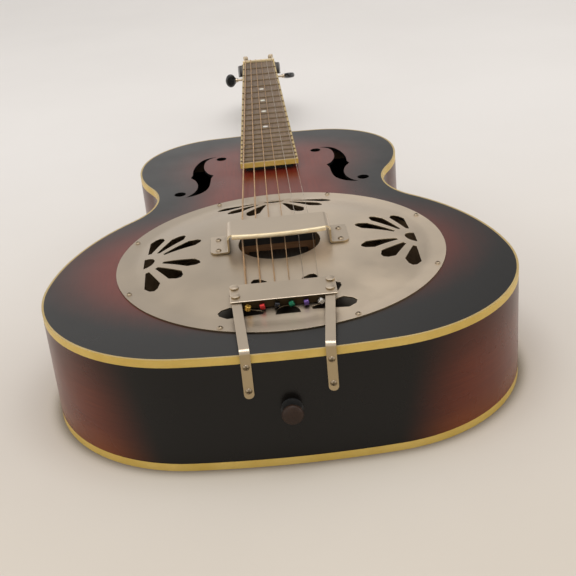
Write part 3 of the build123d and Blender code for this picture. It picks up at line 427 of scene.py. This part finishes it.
def ball_colours():
    """Ball ends: each string's own colour, by its place across the tailpiece."""
    shader = Shader("ball_colours")
    low, high = (v.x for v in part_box("string_ball_ends"))
    x = shader.xyz()[0]
    stops = [(k / len(BALL_COLOURS), colour) for k, colour in enumerate(BALL_COLOURS)]
    enamel = shader.ramp(shader.span(x, low, high), stops, "CONSTANT")
    scuff = shader.noise(shader.stretch((1, 1, 1)), 900.0, 3.0)
    worn = shader.mix(shader.span(scuff, 0.6, 0.75, 0.0, 0.6), enamel, (0.45, 0.30, 0.12))
    return shader.surface(
        Base_Color=worn,
        Metallic=0.75,
        Roughness=shader.span(scuff, 0.3, 0.7, 0.20, 0.34),
        Normal=shader.edges(0.0003),
    )


# ---------------------------------------------------------------- smooth shading on the CAD nodes
def read(collection, attribute, width=1, kind=float):
    """One attribute of every element, as an array with a row for each when it has several numbers."""
    values = np.zeros(len(collection) * width, kind)
    collection.foreach_get(attribute, values)
    return values.reshape(-1, width) if width > 1 else values


def corners_by_place(mesh):
    """The mesh's face corners, in groups that share a point in space."""
    points = np.round(read(mesh.vertices, "co", 3) * 1e6).astype(np.int64)
    _, same = np.unique(points, axis=0, return_inverse=True)
    place = same.reshape(-1)[read(mesh.loops, "vertex_index", kind=np.int64)]
    order = np.argsort(place, kind="stable")
    return np.split(order, np.flatnonzero(np.diff(place[order])) + 1)


def smooth(mesh, limit=35.0):
    """Corner normals averaged over neighbouring faces that meet at less than limit degrees."""
    count = len(mesh.polygons)
    normals = read(mesh.polygons, "normal", 3)
    areas = read(mesh.polygons, "area")
    corner_face = np.repeat(np.arange(count), read(mesh.polygons, "loop_total", kind=np.int64))
    corner_normals = normals[corner_face].copy()
    threshold = math.cos(math.radians(limit))
    for members in corners_by_place(mesh):
        faces = corner_face[members]
        own = normals[faces]
        near = (own @ own.T) > threshold
        blended = (near * areas[faces][None, :]) @ own
        lengths = np.linalg.norm(blended, axis=1)
        good = lengths > 1e-12
        corner_normals[members[good]] = blended[good] / lengths[good, None]
    mesh.polygons.foreach_set("use_smooth", np.ones(count, bool))
    mesh.normals_split_custom_set(corner_normals.tolist())


# ---------------------------------------------------------------- put the finish on every node
PLATE_INSIDE_ARMS = 31 * MM     # half the tailpiece plate's length between its arms
LIP_TALL = 4.6 * MM             # height of the band that holds the handrest's rolled edge
LIP_DEEP = 8 * MM               # depth of that band, because the edge bows
LIP_HALF = 46 * MM              # half the rolled edge's length
LEVEL = 0.985                   # upward part of a level face's normal
BUTTON_START = 33.99 * MM       # distance of a knob's black button from the middle of the headstock


def finish_tailpiece_plate():
    """Tailpiece plate: bright on top, with painted shade on the turned-down edge behind the ball ends.
    """
    mesh = NODES["tailpiece_plate"].data
    coat(mesh, nickel("plate_nickel"), nickel("plate_edge_shade", (0.10, 0.075, 0.050), 0.5, 0.0001))
    # painted shade: faces between the arms that do not face up
    for face in mesh.polygons:
        if face.normal.z < 0.5 and abs(face.center.x) < PLATE_INSIDE_ARMS:
            face.material_index = 1


def yellow_lip():
    """The handrest's rolled front edge, in a mottled metal brighter and yellower than the nickel."""
    shader = Shader("yellow_lip")
    mottle = shader.noise(shader.stretch((1, 3, 3)), 160.0, 4.0)
    return shader.surface(
        Base_Color=shader.mix(shader.span(mottle, 0.35, 0.65), (0.66, 0.53, 0.33), (0.78, 0.67, 0.46)),
        Metallic=0.55,
        Roughness=0.46,
        Normal=shader.bump(mottle, 0.00002, 0.4),
    )


def finish_handrest():
    """Handrest: nickel, with a brighter, yellower metal on its rolled edge."""
    mesh = NODES["handrest"].data
    coat(mesh, nickel("handrest_nickel", edge=0.0001), yellow_lip())
    top = max(vertex.co.z for vertex in mesh.vertices)
    front = min(face.center.y for face in mesh.polygons if face.center.z > top - 3 * MM)
    for face in mesh.polygons:
        at_lip = face.center.z > top - LIP_TALL and face.center.y < front + LIP_DEEP
        if at_lip and face.normal.z < LEVEL and abs(face.center.x) < LIP_HALF:
            face.material_index = 1


def finish_strings():
    """Four strings wound with bronze, each with its own pitch in millimetres, and two of plain steel."""
    bronze = (0.58, 0.365, 0.195)
    for number, pitch in ((6, 0.62), (5, 0.52), (4, 0.42), (3, 0.34)):
        paint(wound(f"bronze_{number}", bronze, pitch * MM), f"string_{number}")
    paint(nickel("string_steel", (0.60, 0.51, 0.41), 0.26, 0.00005), "string_1", "string_2")


def finish_tuners(metal, black):
    """Posts of metal, and knobs whose buttons are black."""
    for number in range(1, 7):
        paint(metal, f"tuner_post_{number}")
        knob = NODES[f"tuner_knob_{number}"].data
        coat(knob, metal, black)
        for face in knob.polygons:
            if abs(face.center.x) > BUTTON_START:
                face.material_index = 1


def finish_wood():
    inner = plain_wood("inner_wood", (0.12, 0.075, 0.04), (0.22, 0.15, 0.085), (50, 4, 50), 0.6)
    ebony = plain_wood("ebony", (0.010, 0.009, 0.008), (0.030, 0.026, 0.022), (120, 6, 120), 0.38)
    maple = plain_wood("maple", (0.14, 0.065, 0.028), (0.24, 0.125, 0.058), (6, 60, 60), 0.42)
    pin = plain_wood("pin_wood", (0.014, 0.006, 0.003), (0.034, 0.015, 0.007), (60, 5, 60), 0.50)
    veneer = plain_wood("head_veneer", (0.010, 0.005, 0.004), (0.022, 0.010, 0.007), (60, 4, 60), 0.24)
    paint(burst_wood("burst_top"), "top")
    paint(burst_wood("burst_back"), "back")
    paint(side_wood(), "sides")
    paint(neck_wood(), "neck")
    paint(rosewood(), "fingerboard")
    paint(inner, "linings", "neck_block", "tail_block", "braces", "soundwell")
    # the neck extension block takes ebony's near-black as painted shade under the fingerboard's end
    paint(ebony, "biscuit", "saddle_cap", "neck_extension_block")
    paint(maple, "saddle")
    paint(pin, "end_pin")
    paint(veneer, "headstock_overlay")


def finish_trim(black):
    paint(celluloid(), "front_binding", "back_binding", "fingerboard_binding")
    # the collar is black also as painted shade round the end pin's base
    paint(plastic("collar_black", (0.006, 0.006, 0.006), 0.7), "end_pin_collar")
    paint(plastic("bone", (0.55, 0.43, 0.24), 0.32), "nut")
    paint(black, "truss_rod_cover")
    paint(pearl(), "position_dots")
    paint(ball_colours(), "string_ball_ends")


def finish_metal(metal):
    steel = nickel("bolt_steel", (0.42, 0.41, 0.40), 0.34, 0.0002)
    screw = nickel("screw_nickel", (0.34, 0.27, 0.19), 0.40, 0.0002)
    paint(steel, "biscuit_screw", "neck_bolts", "truss_rod")
    paint(nickel("brass", (0.62, 0.42, 0.16), 0.30, 0.0002), "truss_rod_nut")
    # painted shade: the cone is coloured far darker than aluminium, for the shade inside the body
    paint(nickel("spun_aluminium", (0.17, 0.15, 0.125), 0.34, 0.0002, turned=True), "cone")
    paint(nickel("cover_nickel", turned=True), "coverplate")
    # painted shade: the frets are coloured dark brown for the shade on their near sides
    paint(nickel("fret_nickel", (0.175, 0.125, 0.075), 0.50, 0.0001), "frets")
    paint(metal, "tailpiece_rivets", "tailpiece_arms", "tuner_plates", "tuner_bushings")
    paint(screw, "coverplate_screws", "handrest_screws", "tailpiece_screws", "truss_cover_screws",
          "tuner_screws")


def finish_nodes():
    metal = nickel("satin_nickel")
    black = plastic("black_plastic", (0.010, 0.010, 0.010), 0.18)
    finish_wood()
    finish_trim(black)
    finish_metal(metal)
    finish_handrest()
    finish_tailpiece_plate()
    finish_strings()
    finish_tuners(metal, black)


# ---------------------------------------------------------------- camera, floor and light
CAMERA_RIGHT = Vector((0.99511, -0.05124, -0.08451))
CAMERA_UP = Vector((0.09842, 0.43644, 0.89434))
CAMERA_PLACE = Vector((-0.00327, -0.80422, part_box("top")[1].z + 0.36111))
CAMERA_LENS = 66.12

FLOOR = [(-12, -8, 0), (12, -8, 0), (12, 16, 0), (-12, 16, 0)]
KEY_PLACE = (0.10, -0.35, 2.5)
KEY_TARGET = (0, 0.1, 0)
KEY_SIZE = (2.2, 1.6)
KEY_POWER = 32
KEY_COLOUR = (1.0, 0.985, 0.965)

# Brightness of the room by direction, from far left (0) to far right (1).
ROOM = [(0.0, 1.15), (0.2, 0.76), (0.38, 0.60), (0.5, 0.64), (0.66, 0.26), (0.80, 0.45), (1.0, 1.15)]


def camera():
    data = bpy.data.cameras.new("camera")
    data.lens = CAMERA_LENS
    data.sensor_width = 36.0
    data.clip_start = 0.01
    obj = bpy.data.objects.new("camera", data)
    back = CAMERA_RIGHT.cross(CAMERA_UP)
    turn = Matrix((CAMERA_RIGHT, CAMERA_UP, back)).transposed()
    obj.matrix_world = Matrix.Translation(CAMERA_PLACE) @ turn.to_4x4()
    bpy.context.scene.collection.objects.link(obj)
    bpy.context.scene.camera = obj


def floor():
    """Pale paper under the guitar, with painted shade darker and warmer towards the camera, and painted
    shadow close beside the body.
    """
    mesh = bpy.data.meshes.new("floor")
    mesh.from_pydata(FLOOR, [], [(0, 1, 2, 3)])
    obj = bpy.data.objects.new("floor", mesh)
    bpy.context.scene.collection.objects.link(obj)
    shader = Shader("paper")
    cloud = shader.noise(shader.stretch((1, 1, 1)), 3.0, 4.0)
    # painted shade: the paper darker and warmer towards the camera
    far = shader.span(shader.xyz()[1], -0.5, 0.7, smooth=True)
    warm = shader.mix(shader.span(cloud, 0.3, 0.7), (0.590, 0.530, 0.455), (0.620, 0.560, 0.483))
    cool = shader.mix(shader.span(cloud, 0.3, 0.7), (0.760, 0.730, 0.705), (0.790, 0.760, 0.735))
    paper = shader.mix(far, warm, cool)
    # painted shadow: darker near the body and a dark contact line under its edge
    beside = shader.span(shader.open_air(0.07), 0.35, 0.95, 1.0, 0.0, smooth=True)
    contact = shader.span(shader.open_air(0.013), 0.40, 1.0, 1.0, 0.0, smooth=True)
    paper = shader.mix(shader.math("MULTIPLY", beside, 0.24), paper, (0.48, 0.385, 0.24))
    paper = shader.mix(shader.math("MULTIPLY", contact, 0.85), paper, (0.07, 0.05, 0.03))
    mesh.materials.append(shader.surface(
        Base_Color=paper,
        Roughness=0.8,
    ))


def area_light(name, place, target, size, power, colour):
    data = bpy.data.lights.new(name, "AREA")
    data.shape = "RECTANGLE"
    data.size, data.size_y = size
    data.energy = power
    data.color = colour
    obj = bpy.data.objects.new(name, data)
    aim = Vector(target) - Vector(place)
    obj.matrix_world = Matrix.Translation(place) @ aim.to_track_quat("-Z", "Y").to_matrix().to_4x4()
    bpy.context.scene.collection.objects.link(obj)


def room():
    """A dim room, darkest a little right of straight ahead and brighter near the horizon."""
    world = bpy.data.worlds.new("studio")
    world.use_nodes = True
    tree = world.node_tree
    direction = tree.nodes.new("ShaderNodeTexCoord").outputs["Generated"]
    split = tree.nodes.new("ShaderNodeSeparateXYZ")
    tree.links.new(direction, split.inputs[0])
    across = tree.nodes.new("ShaderNodeMapRange")
    for key, value in (("From Min", -0.8), ("From Max", 0.8)):
        across.inputs[key].default_value = value
    tree.links.new(split.outputs[0], across.inputs["Value"])
    ramp = tree.nodes.new("ShaderNodeValToRGB")
    fill_ramp(ramp.color_ramp, [(place, (level * 1.02, level, level * 0.975)) for place, level in ROOM])
    tree.links.new(across.outputs["Result"], ramp.inputs["Fac"])
    height = tree.nodes.new("ShaderNodeMapRange")
    for key, value in (("From Min", 0.15), ("From Max", 0.50), ("To Min", 1.42), ("To Max", 0.96)):
        height.inputs[key].default_value = value
    tree.links.new(split.outputs[2], height.inputs["Value"])
    background = tree.nodes["Background"]
    tree.links.new(ramp.outputs["Color"], background.inputs["Color"])
    tree.links.new(height.outputs["Result"], background.inputs["Strength"])
    bpy.context.scene.world = world


def look():
    view = bpy.context.scene.view_settings
    view.view_transform = "Standard"
    view.look = "None"


finish_nodes()
for node in NODES.values():
    smooth(node.data)
camera()
floor()
room()
area_light("key", KEY_PLACE, KEY_TARGET, KEY_SIZE, KEY_POWER, KEY_COLOUR)
look()
